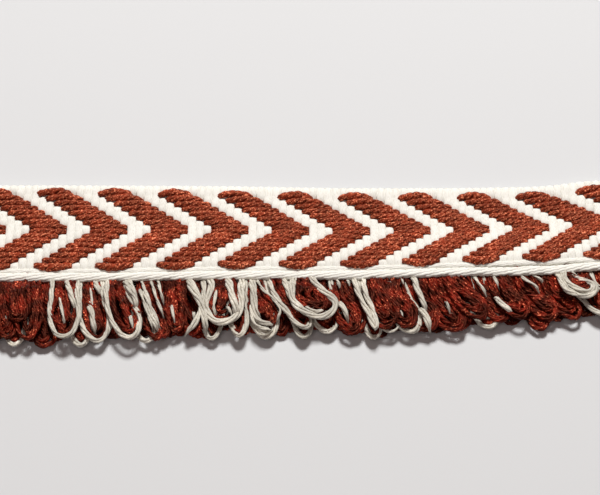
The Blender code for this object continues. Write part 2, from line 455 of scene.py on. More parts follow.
def section_curve(section):
    curve = bpy.data.curves.new("section", "CURVE")
    curve.dimensions = "2D"
    spline = curve.splines.new("POLY")
    spline.points.add(section.points - 1)
    for k, point in enumerate(spline.points):
        turn = math.tau * k / section.points
        point.co = (section.across * math.cos(turn), section.high * math.sin(turn), 0, 1)
    spline.use_cyclic_u = True
    return new_object("section", curve)


def run_lengths(line):
    runs = [0]
    for start, end in zip(line, line[1:]):
        runs.append(runs[-1] + (end - start).length)
    return runs


print("a strand has a", ", ".join(Strand._fields))

# %% [markdown]
# ## Telling the material about each strand
# Converting a curve writes a UV map that runs from 0 to 1 along each spline, which would stretch the
# streaks on long yarns. So the map is scaled to millimetres, and each strand's shade is written on its
# points. Both rely on the order that the conversion makes.


# %% Telling the material about each strand
def per_strand(values, counts, each_cap, each_step):
    """One value per strand over the mesh: the caps come first, from the last strand back."""
    caps = np.repeat(values[::-1], 2 * each_cap)
    return np.concatenate([caps, np.repeat(values, counts * each_step)])


def write_yarn_data(mesh, strands, section):
    counts = np.array([len(strand.line) for strand in strands])
    lengths = np.array([run_lengths(strand.line)[-1] for strand in strands]) / MM
    shades = np.array([strand.shade for strand in strands])
    ring = section.points
    uv = np.empty(len(mesh.loops) * 2)
    mesh.uv_layers[0].data.foreach_get("uv", uv)
    uv[0::2] *= per_strand(lengths, counts - 1, 3 * (ring - 2), 4 * ring)
    uv[1::2] *= math.pi * (section.across + section.high) / MM
    mesh.uv_layers[0].data.foreach_set("uv", uv)
    shade = mesh.attributes.new("shade", "FLOAT", "POINT")
    shade.data.foreach_set("value", per_strand(shades, counts, ring, ring))


print("UV maps hold mm")

# %% [markdown]
# ## Spinning a piece
# All the strands of a piece are splines of one curve, so that one conversion makes them all a mesh, far
# quicker than hundreds of objects. It leaves the round caps loose, so their doubles are merged.

# %% Spinning a piece
DOUBLES_WITHIN = 1e-7


def curve_of(name, strands, section):
    curve = bpy.data.curves.new(name, "CURVE")
    curve.dimensions = "3D"
    curve.bevel_mode = "OBJECT"
    curve.bevel_object = section_curve(section)
    curve.use_fill_caps = True
    curve.twist_mode = "MINIMUM"
    for strand in strands:
        spline = curve.splines.new("POLY")
        spline.points.add(len(strand.line) - 1)
        spline.points.foreach_set("co", [value for place in strand.line for value in (*place, 1)])
        spline.points.foreach_set("radius", strand.widths)
    return curve


def close_caps():
    bpy.ops.object.mode_set(mode="EDIT")
    bpy.ops.mesh.select_all(action="SELECT")
    bpy.ops.mesh.remove_doubles(threshold=DOUBLES_WITHIN)
    bpy.ops.mesh.normals_make_consistent(inside=False)
    bpy.ops.object.mode_set(mode="OBJECT")


def spin(name, strands, section, material):
    """Makes all the strands of one kind one piece of the trim."""
    curve = curve_of(name, strands, section)
    piece = new_object(name, curve)
    deselect_all()
    piece.select_set(True)
    bpy.context.view_layer.objects.active = piece
    bpy.ops.object.convert(target="MESH")
    bpy.data.objects.remove(curve.bevel_object)
    piece.data.name = name
    write_yarn_data(piece.data, strands, section)
    close_caps()
    bpy.ops.object.shade_smooth()
    piece.data.materials.clear()
    piece.data.materials.append(MATERIALS[material])
    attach(piece, "root")
    deselect_all()
    triangles = sum(len(face.vertices) - 2 for face in piece.data.polygons)
    print(f"{name}: {len(strands)} strands, {triangles} triangles")
    return piece


print("pieces ride on root")

# %% [markdown]
# ## Plied yarn
# A yarn isn't one round tube. It is two or more plies that wind round each other, and the light that
# catches each ply in turn gives a yarn its grain. A bump map would leave its outline smooth, so each yarn
# is made as its plies, which circle its middle line, a little loosely, as they are never pulled even.

# %% Plied yarn
UP = Vector((0, 0, 1))
LOOSENESS = 0.35
LOOSENESS_WAVES = 0.4
PLY_SHADES = 0.15


class Twist(NamedTuple):
    """How a yarn is plied: how many plies, their distance from the middle and the length of a turn."""

    plies: int
    across: float
    high: float
    lay: float


def plied(line, widths, twist, draw):
    """The strands that a yarn along a line is made of."""
    start, shade = draw.random(), draw.random()
    runs = run_lengths(line)
    last = len(line) - 1
    strands = []
    for ply in range(twist.plies):
        seed = draw.uniform(0, 100)
        points = []
        for i, (place, run, width) in enumerate(zip(line, runs, widths)):
            along = (line[min(i + 1, last)] - line[max(i - 1, 0)]).normalized()
            side = along.cross(UP).normalized()
            turn = math.tau * (run / twist.lay + start + ply / twist.plies)
            wave = noise.noise(Vector((run / MM * LOOSENESS_WAVES, seed, 0)))
            swing = side * (twist.across * math.cos(turn))
            swing += side.cross(along) * (twist.high * math.sin(turn))
            points.append(place + swing * (width * (1 + LOOSENESS * wave)))
        own_shade = shade + draw.uniform(-PLY_SHADES, PLY_SHADES)
        strands.append(Strand(points, widths, min(1, max(0, own_shade))))
    return strands


print("a twist has", ", ".join(Twist._fields))

# %% [markdown]
# ## The rust warp
# The sixteen rust ends are the pattern. Each is one long yarn, as in the loom, high while it floats and
# low while it dives, and it swells in the middle of its float. The outer rows have no neighbour to hold
# them, so their floats bow outwards and are thicker.

# %% Sizes of the rust warp
FLOAT_Z = 1.40 * MM
DIVE_Z = 0.48 * MM
WARP_STEPS_IN_PICK = 4
WARP_SECTION = Section(across=0.34 * MM, high=0.30 * MM, points=5)
WARP_TWIST = Twist(plies=3, across=0.26 * MM, high=0.18 * MM, lay=3.6 * MM)
FLOAT_CROWN = 0.14 * MM
WARP_WIDTH = 0.60
FLOAT_SWELL = 0.48
# How far the floats of the outer rows bow away from the pattern, in millimetres
BOWS = {0: 0.54, 1: 0.30, 2: 0.12, ROWS - 4: -0.06, ROWS - 3: -0.16, ROWS - 2: -0.34, ROWS - 1: -0.72}
# How much thicker these floats are
OUTER_SWELL = {0: 0.26, 1: 0.10, ROWS - 2: 0.06, ROWS - 1: 0.34}
# The selvedge pinches the back rows' floats: they start early and end early, by so many picks
EARLY = {0: 0.3, 1: 0.2}
SHORTER = {0: 0.3}
WARP_WANDER = 0.06
WARP_WAVES = 0.4
ROWS_APART = 7.1
print(f"{ROWS} rust ends, {FLOAT_Z / MM:.1f} mm high where they float")


# %% The rust warp
def row_y(row):
    return ARM_BACK - (row + 0.5) * ROW


def picks_into_repeat(x, row):
    """How many picks past the start of its float a row is at x, from 0 to 8."""
    shift = min(row, ROWS - 1 - row) + 0.5
    return ((x - WEAVE_START) / PICK - shift) % PICKS_IN_REPEAT


def warp_yarn(row, draw):
    line, widths = [], []
    steps = PICKS * WARP_STEPS_IN_PICK
    for k in range(steps + 1):
        x = LENGTH * (k / steps - 0.5)
        phase = picks_into_repeat(x + EARLY.get(row, 0) * PICK, row)
        picks = PICKS_IN_FLOAT - SHORTER.get(row, 0)
        before_next = PICKS_IN_REPEAT - 0.5
        high = smooth(phase + 0.5) * smooth(picks + 0.5 - phase) + smooth(phase - before_next)
        arch = math.sin(math.pi * phase / picks) if phase < picks else 0
        z = DIVE_Z + (FLOAT_Z - DIVE_Z) * high + FLOAT_CROWN * arch
        wander = WARP_WANDER * noise.noise(Vector((x / MM * WARP_WAVES, row * ROWS_APART, 0)))
        y = row_y(row) + (BOWS.get(row, 0) * arch + wander) * MM
        line.append(laid(Vector((x, y, z))))
        widths.append(WARP_WIDTH + (FLOAT_SWELL + OUTER_SWELL.get(row, 0)) * math.sqrt(arch))
    return plied(line, widths, WARP_TWIST, draw)


def add_rust_warp():
    draw = random.Random(5)
    rows = [warp_yarn(row, draw) for row in range(ROWS)]
    halves = {"rust_warp_back": rows[:ROWS_IN_ARM], "rust_warp_front": rows[ROWS_IN_ARM:]}
    return [
        spin(name, sum(half, []), WARP_SECTION, "rust_viscose")
        for name, half in halves.items()
    ]


rust_warp = add_rust_warp()

# %% [markdown]
# ## A yarn through a few points
# The other yarns are given by the few points where they bend. A NURBS curve would cut these corners, so
# they are drawn on the same Hermite curve as the table, in steps of even length.

# %% A yarn through a few points
FINE_STEPS = 8


def even_line(points, spacing):
    """Even steps along the smooth curve through a few points."""
    ends = [2 * points[0] - points[1], *points, 2 * points[-1] - points[-2]]
    fine = []
    for a, b, c, d in zip(ends, ends[1:], ends[2:], ends[3:]):
        for k in range(FINE_STEPS):
            fine.append(through(b, c, (c - a) / 2, (d - b) / 2, k / FINE_STEPS))
    fine.append(points[-1])
    runs = run_lengths(fine)
    count = max(2, round(runs[-1] / spacing))
    line = []
    i = 0
    for k in range(count + 1):
        target = runs[-1] * k / count
        while i < len(runs) - 2 and runs[i + 1] < target:
            i += 1
        share = (target - runs[i]) / max(1e-12, runs[i + 1] - runs[i])
        line.append(fine[i].lerp(fine[i + 1], min(1, share)))
    return line


print(f"{FINE_STEPS} fine steps between two points of a yarn")

# %% [markdown]
# ## The cream weft
# Each pick is a soft cream yarn that crosses the heading. Where a rust end floats it is below, and where
# the end dives it comes up as a short rib. At the back edge it turns round the outer cord, and at the
# front it passes below the two cords that hold the loops. Copies of one pick couldn't follow the chevron,
# so each is made in its own place.

# %% Sizes of the cream weft
OVER_Z = 1.20 * MM
UNDER_Z = 0.60 * MM
WEFT_SECTION = Section(across=0.76 * MM, high=0.34 * MM, points=8)
WEFT_SPACING = 0.40 * MM
WEFT_SWAY = 0.04
WEFT_END = 0.4 * PICK
# Where each pick turns outside the pattern, in millimetres across and high
BACK_TURN = ((8.20, 0.34), (8.90, 0.36), (9.28, 0.60), (9.32, 0.88), (9.02, 1.16), (8.52, 1.30))
FRONT_TURN = ((-7.42, 0.96), (-7.95, 0.62), (-8.60, 0.46), (-8.95, 0.44))
print(f"a rib stands {OVER_Z / MM:.1f} mm high")


# %% The cream weft
def turn_points(x, bends):
    return [Vector((x, across * MM, high * MM)) for across, high in bends]


def weft_strand(pick, draw):
    x = WEAVE_START + pick * PICK
    points = turn_points(x, BACK_TURN)
    for row in range(ROWS):
        floats = picks_into_repeat(x, row) < PICKS_IN_FLOAT
        sway = draw.uniform(-WEFT_SWAY, WEFT_SWAY) * MM
        points.append(Vector((x + sway, row_y(row), UNDER_Z if floats else OVER_Z)))
    points += turn_points(x, FRONT_TURN)
    line = [laid(place) for place in even_line(points, WEFT_SPACING)]
    return Strand(line, [1.0] * len(line), draw.random())


def add_cream_weft():
    draw = random.Random(11)
    inside = LENGTH / 2 - WEFT_END
    picks = [k for k in range(PICKS) if abs(WEAVE_START + k * PICK) < inside]
    strands = [weft_strand(pick, draw) for pick in picks]
    return spin("ivory_weft_picks", strands, WEFT_SECTION, "cream_cotton")


weft = add_cream_weft()

# %% [markdown]
# ## The selvedge cords
# Two thin cords run along the back edge. At the front a thin one and a fat one hold the loops. They have
# hardly any twist, so each is made as seven plies that turn slowly. One tube would look like piping.


# %% The selvedge cords
class Cord(NamedTuple):
    """A cord's place and height in millimetres, and its width as a share of a full one."""

    across: float
    high: float
    width: float


CORDS = (
    Cord(8.46, 0.94, 0.62),
    Cord(8.92, 0.80, 0.54),
    Cord(-7.80, 1.10, 0.72),
    Cord(-8.82, 1.00, 1.30),
)
CORD_SECTION = Section(across=0.27 * MM, high=0.24 * MM, points=6)
CORD_TWIST = Twist(plies=7, across=0.38 * MM, high=0.20 * MM, lay=20.0 * MM)
CORD_STEPS_IN_PICK = 3
# The wefts below press the cords into shallow scallops
SCALLOP = 0.05 * MM


def cord_yarn(cord, draw):
    steps = PICKS * CORD_STEPS_IN_PICK
    line = []
    for k in range(steps + 1):
        x = LENGTH * (k / steps - 0.5)
        scallop = SCALLOP * math.cos(math.tau * (x - WEAVE_START) / PICK)
        line.append(laid(Vector((x, cord.across * MM - scallop, cord.high * MM))))
    return plied(line, [cord.width] * len(line), CORD_TWIST, draw)


def add_cords():
    draw = random.Random(3)
    strands = sum((cord_yarn(cord, draw) for cord in CORDS), [])
    return spin("selvedge_cords", strands, CORD_SECTION, "cream_cotton")


selvedge = add_cords()

# %% [markdown]
# ## The ground of the heading
# The floor would shine through between the yarns, so a thin closed sheet lies in the middle of the weave.
# It starts as a grid, takes the heading's lie, and gets its thickness from a Solidify modifier.

# %% The ground of the heading
GROUND_Z = 0.72 * MM
GROUND_THICKNESS = 0.3 * MM
GROUND_INSET = 0.5 * MM
GROUND_ROWS = 20


def add_ground():
    deselect_all()
    bpy.ops.mesh.primitive_grid_add(x_subdivisions=PICKS, y_subdivisions=GROUND_ROWS, size=1)
    cloth = bpy.context.object
    cloth.name = cloth.data.name = "ground_cloth"
    for vertex in cloth.data.vertices:
        x = vertex.co.x * (LENGTH - 2 * GROUND_INSET)
        y = vertex.co.y * 2 * (BACK_EDGE - GROUND_INSET)
        vertex.co = laid(Vector((x, y, GROUND_Z)))
    solid = cloth.modifiers.new("thickness", "SOLIDIFY")
    solid.thickness = GROUND_THICKNESS
    solid.offset = 0
    bpy.ops.object.modifier_apply(modifier=solid.name)
    bpy.ops.object.shade_smooth()
    cloth.data.materials.append(MATERIALS["cream_cotton"])
    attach(cloth, "root")
    print(f"{cloth.name}: {len(cloth.data.polygons)} faces")
    return cloth


ground = add_ground()

# %% [markdown]
# ## The loops of the fringe
# The fringe is uncut: each loop is a bundle of yarns that leaves the heading, turns, and comes back. In
# a bundle the yarns lie one inside the other like the layers of a petal, often with an off-white one
# outside. Scattered loops would look even and dull, so each is a row below: where its two legs leave the
# heading, where its tip lies, how far it reaches, how wide its belly is, how high it lies, and its yarns
# from outside in, with R for rust, W for off-white, B for a broad off-white yarn and w for a thin one.


# %% The bundles
class Bundle(NamedTuple):
    """One loop of several yarns, in millimetres but for its level."""

    left: float
    right: float
    tip: float
    reach: float
    width: float
    level: float
    yarns: str


BUNDLES = (
    Bundle(-52.6, -48.8, -49.3, 12.1, 4.4, 1, "RRRR"),
    Bundle(-48.2, -45.0, -46.0, 13.1, 3.2, 0.6, "WR"),
    Bundle(-48.8, -45.6, -47.4, 11.8, 3.6, 1.5, "RRR"),
    Bundle(-46.2, -43.0, -43.9, 12.2, 4.0, 2, "RRR"),
    Bundle(-47.4, -44.6, -45.4, 9.4, 3.0, 2.6, "RR"),
    Bundle(-44.4, -40.4, -41.4, 12.8, 4.4, 0, "RRR"),
    Bundle(-40.7, -36.5, -38.0, 12.3, 4.8, 2, "WRRRR"),
    Bundle(-37.2, -34.2, -35.5, 13.0, 3.1, 0.5, "WR"),
    Bundle(-36.2, -32.4, -32.7, 12.5, 4.7, 1, "WRRRR"),
    Bundle(-31.6, -28.9, -27.6, 12.3, 5.0, 2, "WRRRR"),
    Bundle(-27.8, -24.8, -24.9, 12.4, 3.4, 0.6, "W"),
    Bundle(-26.6, -23.8, -23.2, 12.2, 3.6, 1, "RRRR"),
    Bundle(-23.4, -20.9, -22.0, 11.6, 3.0, 1, "RRR"),
    Bundle(-21.6, -19.2, -19.9, 10.9, 3.2, 1.4, "RRR"),
    Bundle(-20.0, -17.4, -17.4, 11.2, 4.0, 1.0, "RRR"),
    Bundle(-15.9, -13.0, -14.2, 12.0, 3.2, 0.5, "WR"),
    Bundle(-14.5, -9.6, -12.6, 9.8, 5.7, 2, "BRRRRR"),
    Bundle(-11.6, -8.9, -9.9, 11.8, 2.8, 1, "WR"),
    Bundle(-8.0, -6.6, -5.6, 9.8, 4.2, 1, "RRRR"),
    Bundle(-8.6, -5.2, -5.4, 11.7, 4.3, 0.5, "WW"),
    Bundle(-5.0, -2.7, 0.9, 10.4, 3.6, 2, "WRRR"),
    Bundle(-1.8, 1.4, 0.6, 11.6, 3.0, 0.7, "W"),
    Bundle(-1.0, 2.0, 3.1, 8.7, 6.8, 3, "BRRRR"),
    Bundle(1.2, 5.0, 4.4, 10.3, 4.4, 0.6, "WRR"),
    Bundle(4.6, 7.6, 9.0, 10.9, 4.6, 1, "RRRR"),
    Bundle(8.7, 10.3, 12.3, 10.6, 0.9, 2.7, "W"),
    Bundle(9.8, 13.2, 11.8, 11.3, 2.8, 0.5, "WR"),
    Bundle(12.3, 14.7, 14.6, 10.5, 4.5, 0.9, "w"),
    Bundle(11.6, 14.0, 14.0, 9.9, 4.4, 1.9, "RRRR"),
    Bundle(14.9, 17.0, 17.9, 10.5, 4.3, 0.9, "W"),
    Bundle(14.4, 16.6, 17.4, 9.8, 3.8, 1.7, "RRRR"),
    Bundle(17.4, 20.2, 20.8, 10.2, 4.4, 1, "RRRR"),
    Bundle(20.6, 23.6, 25.2, 10.0, 5.2, 1, "RRRRR"),
    Bundle(23.8, 26.6, 29.4, 8.3, 4.4, 2, "RRRR"),
    Bundle(26.8, 30.0, 30.7, 9.4, 3.8, 0.5, "WRW"),
    Bundle(27.4, 30.2, 33.0, 8.4, 3.8, 1, "RRRR"),
    Bundle(31.0, 33.8, 35.6, 7.9, 4.4, 2, "RRRR"),
    Bundle(34.6, 37.6, 40.6, 8.3, 4.6, 1, "RRRR"),
    Bundle(36.0, 39.6, 39.4, 9.5, 4.2, 0, "RRR"),
    Bundle(38.6, 41.8, 44.4, 8.6, 4.4, 1, "RRRR"),
    Bundle(42.8, 44.6, 46.9, 5.8, 4.6, 3, "WWRRR"),
    Bundle(44.8, 47.6, 49.8, 9.0, 4.6, 1, "WRRR"),
)
print(f"{len(BUNDLES)} bundles of {sum(len(bundle.yarns) for bundle in BUNDLES)} yarns")

# %% [markdown]
# ## Yarns that show between the others
# Here and there an off-white yarn comes up from deep in a bundle. Each row is its kind, its level, and
# the points that it shows along: how far along the trim, and how far out.


# %% Yarns that show between the others
class Show(NamedTuple):
    """A stretch where an off-white yarn shows between the rust ones."""

    kind: str
    level: float
    points: tuple


SHOWS = (
    Show("w", 2.7, ((-39.2, 4.1), (-38.9, 6.1), (-38.4, 8.2), (-38.0, 10.3))),
    Show("W", 2.5, ((-38.7, -0.6), (-37.5, 3.8), (-36.8, 5.8), (-36.5, 7.3))),
    Show("W", 1.9, ((-34.6, 5.5), (-33.9, 7.3), (-33.5, 9.2), (-33.1, 11.3))),
    Show("W", 1.9, ((-34.1, -0.7), (-33.1, 2.5), (-32.5, 4.0))),
    Show("w", 2.8, ((-27.7, 7.7), (-27.3, 9.5), (-26.8, 11.4))),
    Show("w", 2.7, ((-29.2, 4.4), (-28.7, 6.1))),
    Show("W", 2.6, ((-29.1, -0.5), (-27.9, 3.4), (-26.8, 5.3), (-26.6, 7.3))),
    Show("W", 2.8, ((-28.4, -0.5), (-27.2, 3.7), (-26.3, 5.4))),
    Show("W", 1.9, ((-25.7, 2.4), (-24.7, 5.6), (-24.0, 8.4), (-22.9, 11.1))),
    Show("w", 2.1, ((-26.3, -0.5), (-24.9, 5.0), (-23.5, 8.3), (-22.6, 10.6))),
    Show("w", 1.9, ((-26.5, 2.1), (-25.6, 5.0), (-24.5, 8.5), (-23.6, 11.0))),
    Show("w", 2.2, ((-24.8, -0.5), (-23.6, 4.4), (-22.6, 7.2), (-22.0, 8.7))),
    Show("w", 2.4, ((-23.5, -0.5), (-22.8, 3.6), (-22.1, 6.1))),
    Show("w", 2.0, ((-21.0, 5.5), (-20.7, 7.5), (-20.2, 10.0))),
    Show("B", 2.2, ((-18.6, -0.5), (-17.5, 3.5), (-16.4, 5.5), (-15.8, 7.4), (-15.4, 9.6), (-15.2, 11.5))),
    Show("W", 2.0, ((-18.3, -0.5), (-17.0, 3.7), (-16.1, 5.6), (-16.4, 8.5), (-17.5, 10.6), (-18.7, 11.7))),
    Show("w", 2.0, ((-17.6, 6.9), (-17.2, 8.1), (-17.2, 9.5))),
    Show("w", 2.6, ((-13.6, 3.0), (-13.8, 5.3), (-14.0, 7.3), (-13.4, 9.0))),
    Show("B", 2.6, ((-12.0, -0.5), (-11.2, 4.4), (-10.4, 7.3), (-10.5, 8.8))),
    Show("w", 2.7, ((-12.2, 6.2), (-11.3, 7.9), (-10.7, 9.0))),
    Show("W", 1.9, ((-8.2, -0.5), (-7.7, 4.3), (-7.6, 7.1), (-7.0, 9.0), (-5.3, 9.9), (-4.0, 9.3))),
    Show("w", 2.2, ((-7.6, -0.5), (-7.2, 4.7), (-7.0, 7.4), (-6.2, 8.9))),
    Show("w", 2.3, ((-7.4, -0.5), (-6.2, 3.2), (-4.9, 4.6), (-3.7, 6.2), (-3.2, 7.7), (-3.9, 9.3))),
    Show("w", 2.0, ((-7.8, 5.4), (-8.0, 7.7), (-7.3, 10.0), (-5.7, 10.9), (-4.2, 10.5))),
    Show("W", 2.5, ((-3.0, -0.5), (-2.0, 3.5), (-1.2, 5.4), (-0.6, 6.9))),
    Show("w", 3.2, ((0.5, 6.1), (1.3, 7.2), (2.8, 7.9), (4.4, 6.9))),
    Show("W", 1.8, ((5.9, 4.6), (6.7, 5.9), (7.3, 7.0), (7.9, 8.8))),
    Show("w", 2.4, ((5.7, -0.5), (6.7, 2.6))),
    Show("w", 2.4, ((7.5, -0.5), (8.3, 2.4))),
    Show("w", 2.4, ((14.8, -0.5), (15.0, 2.3))),
    Show("w", 2.4, ((16.6, -0.5), (17.0, 2.4))),
    Show("W", 2.7, ((18.4, -0.5), (19.2, 3.3), (19.9, 5.3), (20.6, 7.4))),
    Show("B", 2.1, ((19.2, 5.8), (19.9, 7.2), (20.4, 8.3), (21.1, 10.6))),
    Show("w", 2.3, ((23.6, 4.5), (24.0, 6.1), (24.5, 7.6))),
    Show("w", 2.3, ((28.0, -0.6), (29.3, 2.0), (30.6, 4.2))),
    Show("w", 2.3, ((31.2, -1.0), (32.1, 1.5), (32.7, 2.6))),
    Show("W", 2.3, ((31.5, 3.8), (32.4, 5.4), (33.5, 6.7), (34.9, 7.5))),
    Show("w", 2.4, ((35.3, -0.9), (36.8, 1.2), (38.1, 2.3), (39.3, 3.7))),
    Show("w", 2.2, ((37.2, -0.7), (39.0, 0.9), (40.3, 1.9))),
    Show("W", 3.1, ((42.0, -0.5), (42.9, 3.4), (44.1, 4.9), (45.9, 5.6))),
)
print(f"{len(SHOWS)} stretches show")

# %% [markdown]
# ## How high the loops lie
# The bundles lie on each other in loose layers. A simulation would flatten the heap, so each has a level
# instead: it leaves the heading low, and within a few millimetres it comes to the height of its layer.

# %% How high the loops lie
LEVEL_Z = (1.10, 1.85, 2.60, 3.30)
ROOT_Z = (0.30, 0.50, 0.72, 0.90)
LEVEL_BY = 4.0 * MM
LYING_CLEAR = 0.30 * MM


def bundle_height(level, out, x):
    """The height of a bundle at a distance out from the heading."""
    low = min(len(LEVEL_Z) - 2, max(0, int(level)))
    share = level - low
    lying = (LEVEL_Z[low] * (1 - share) + LEVEL_Z[low + 1] * share) * MM
    root = (ROOT_Z[low] * (1 - share) + ROOT_Z[low + 1] * share) * MM + lie_at(x, "front_lift")
    return root + (lying - root) * smooth(out / LEVEL_BY)


print(f"a bundle of level 2 lies {bundle_height(2, LEVEL_BY, 0) / MM:.1f} mm high")

# %% [markdown]
# ## The outline of a loop
# A limp loop opens like a petal: narrow at the heading, widest about two thirds out, and round at its
# tip. A yarn further in follows the same outline, drawn in by its inset, with a little jitter so that the
# yarns aren't exact copies.

# %% The outline of a loop
ROOT_INSIDE = 0.75 * MM
# How far out each point of the petal is, and how far to the side, as shares
PETAL = ((0.34, -0.86), (0.66, -1.0), (0.91, -0.66), (1.0, 0.0), (0.91, 0.66), (0.66, 1.0), (0.34, 0.86))
BELLY = 0.66
# Inner legs move together by this share of their inset, and by no more of their gap
LEGS_IN = 0.8
LEGS_IN_MOST = 0.42
NARROWEST = 0.40
REACH_IN = 1.15
# How far a yarn strays: at the outside of its bundle, and more for each mm inside
JITTER = {"B": (0.07, 0.05), "W": (0.07, 0.05), "w": (0.07, 0.05), "R": (0.20, 0.11)}
JITTER_UP = 0.10


def petal_points(bundle, inset, kind, draw):
    """The few points that a yarn's curve goes through, from its left root to its right."""
    tuck = min(inset * LEGS_IN, (bundle.right - bundle.left) * LEGS_IN_MOST)
    left, right = bundle.left + tuck, bundle.right - tuck
    half = max(NARROWEST, bundle.width / 2 - inset)
    reach = bundle.reach - inset * REACH_IN
    middle = (bundle.left + bundle.right) / 2
    outline = [(left, -ROOT_INSIDE / MM), (left, 0.0)]
    for share, side in PETAL:
        root = left if side < 0 else right
        axis = middle + (bundle.tip - middle) * share
        ease = smooth(share / BELLY)
        x = root + (axis + side * half - root) * ease if side else bundle.tip
        outline.append((x, share * reach))
    outline += [(right, 0.0), (right, -ROOT_INSIDE / MM)]
    outside, per_inset = JITTER[kind]
    loose = outside + per_inset * inset
    return [
        Vector((x + draw.gauss(0, loose), out + draw.gauss(0, loose), draw.gauss(0, JITTER_UP)))
        for x, out in outline
    ]


print(f"a loop's curve goes through {len(PETAL) + 4} points")

# %% [markdown]
# ## The yarns of the loops
# The rust yarns are tightly plied and the off-white ones soft and nearly flat, like ribbons. These are
# also springier, so they ride a little above the rust ones, unless their bundle lies at the bottom.

# %% The yarns of the loops
WHITE_SECTION = Section(across=0.25 * MM, high=0.23 * MM, points=5)
RUST_SECTION = Section(across=0.235 * MM, high=0.23 * MM, points=5)
LOOP_TWISTS = {
    "B": Twist(plies=4, across=0.34 * MM, high=0.16 * MM, lay=12.0 * MM),
    "W": Twist(plies=3, across=0.23 * MM, high=0.15 * MM, lay=9.0 * MM),
    "w": Twist(plies=2, across=0.16 * MM, high=0.12 * MM, lay=6.0 * MM),
    "R": Twist(plies=3, across=0.21 * MM, high=0.19 * MM, lay=4.2 * MM),
}
THICKNESS = {"B": 1.05, "W": 1.0, "w": 0.72, "R": 1.0}
PROUD = {"B": 0.30 * MM, "W": 0.25 * MM, "w": 0.25 * MM, "R": 0}
PROUD_BY = 2.0 * MM
PROUD_FROM_LEVEL = 0.8
# A soft yarn swells and thins along its length
SWELL = 0.22
SWELL_WAVES = 0.22


def loose_plies(line, widths, kind, draw):
    """The plies of a soft yarn, kept above the surface."""
    seed = draw.uniform(0, 100)
    widths = [
        width * (1 + SWELL * noise.noise(Vector((k * SWELL_WAVES, seed, 0))))
        for k, width in enumerate(widths)
    ]
    strands = plied(line, widths, LOOP_TWISTS[kind], draw)
    for strand in strands:
        for place, width in zip(strand.line, strand.widths):
            place.z = max(WHITE_SECTION.high * width, place.z)
    return strands


def loop_yarn(bundle, inset, kind, spacing, draw):
    """The plies of one yarn of a bundle."""
    line = []
    proud = PROUD[kind] if bundle.level > PROUD_FROM_LEVEL else 0
    for flat in even_line([point * MM for point in petal_points(bundle, inset, kind, draw)], spacing):
        z = bundle_height(bundle.level, max(0, flat.y), flat.x) + flat.z
        z += proud * smooth(flat.y / PROUD_BY)
        y = FRONT_EDGE - flat.y + lie_at(flat.x, "front_edge")
        line.append(Vector((flat.x, y, max(LYING_CLEAR, z))))
    return loose_plies(line, [THICKNESS[kind]] * len(line), kind, draw)


print("plies of each kind of yarn:", {kind: twist.plies for kind, twist in LOOP_TWISTS.items()})

# %% [markdown]
# ## A yarn that comes up and goes down
# A stretch that shows lies a little proud. Cutting it off would leave blunt ends, so both its ends dive
# back between the other yarns and thin out as they go.

# %% A yarn that comes up and goes down
LOOP_SPACING = 0.52 * MM
SHOW_PROUD = 0.35 * MM
SHOW_RISE = 1.3 * MM
THIN_END = 0.2


def show_yarn(show, draw):
    """The plies of a yarn that shows for a stretch."""
    line, widths = [], []
    flat_line = even_line([Vector((x, out, 0)) * MM for x, out in show.points], LOOP_SPACING)
    for k, flat in enumerate(flat_line):
        ends = min(k, len(flat_line) - 1 - k) * LOOP_SPACING
        up = smooth(ends / SHOW_RISE)
        z = bundle_height(show.level, max(0, flat.y), flat.x) + SHOW_RISE * (up - 1)
        z += SHOW_PROUD * smooth(flat.y / PROUD_BY)
        y = FRONT_EDGE - flat.y + lie_at(flat.x, "front_edge")
        line.append(Vector((flat.x, y, z)))
        widths.append(THICKNESS[show.kind] * (THIN_END + (1 - THIN_END) * up))
    return loose_plies(line, widths, show.kind, draw)


print(f"a yarn that shows comes up over {SHOW_RISE / MM:.1f} mm")

# %% [markdown]
# ## Filling the whole length
# The table covers the ten repeats in the middle. The stretches at either end carry on with the bundles
# of the other end, whose reach is fitted to their new neighbours.

# %% Filling the whole length
SPAN = 10 * REPEAT
SHIFTS = [turn * SPAN / MM for turn in (-1, 0, 1)]
END_ROOM = 0.8
SHOW_END_ROOM = 1.0
BELLY_ROOM = 1.5


def reach_ratio(x, shift):
    """How much further the loops reach where a bundle is repeated."""
    return lie_at((x + shift) * MM, "loop_reach") / lie_at(x * MM, "loop_reach")


def all_bundles():
    room = LENGTH / 2 / MM - END_ROOM
    found = []
    for shift in SHIFTS:
        for bundle in BUNDLES:
            left, right, tip = (value + shift for value in bundle[:3])
            if left > -room and right < room and tip + bundle.width / 2 < room + BELLY_ROOM:
                reach = bundle.reach * reach_ratio(bundle.left, shift)
                found.append(bundle._replace(left=left, right=right, tip=tip, reach=reach))
    return found


def all_shows():
    room = LENGTH / 2 / MM - SHOW_END_ROOM
    found = []
    for shift in SHIFTS:
        for show in SHOWS:
            if all(abs(x + shift) < room for x, out in show.points):
                ratio = reach_ratio(show.points[0][0], shift)
                points = [(x + shift, out * ratio) for x, out in show.points]
                found.append(show._replace(points=points))
    return found


print(f"{len(all_bundles())} bundles and {len(all_shows())} showing stretches on the whole length")

# %% [markdown]
# ## The layer underneath
# Under the loops that show lies a mass of plainer rust ones, seen only through the gaps. So one rule
# makes them in place of a table: a loop every millimetre and a half, leaning more towards the right.

# %% The layer underneath
UNDER_SPACING = 0.62 * MM
UNDER_STEP = 1.5
UNDER_ROOM = 1.2
UNDER_LEGS = 3.0
UNDER_WIDTH = 3.8
UNDER_LEVELS = (-0.8, -0.5, -0.2)
UNDER_YARNS = ("RRR", "RRR", "RR")
UNDER_SHORTER = (0.1, 1.5)
LEAN_LEFT = 0.4
LEAN_MORE = 1.6
LEAN_FROM = -20
LEAN_OVER = 50


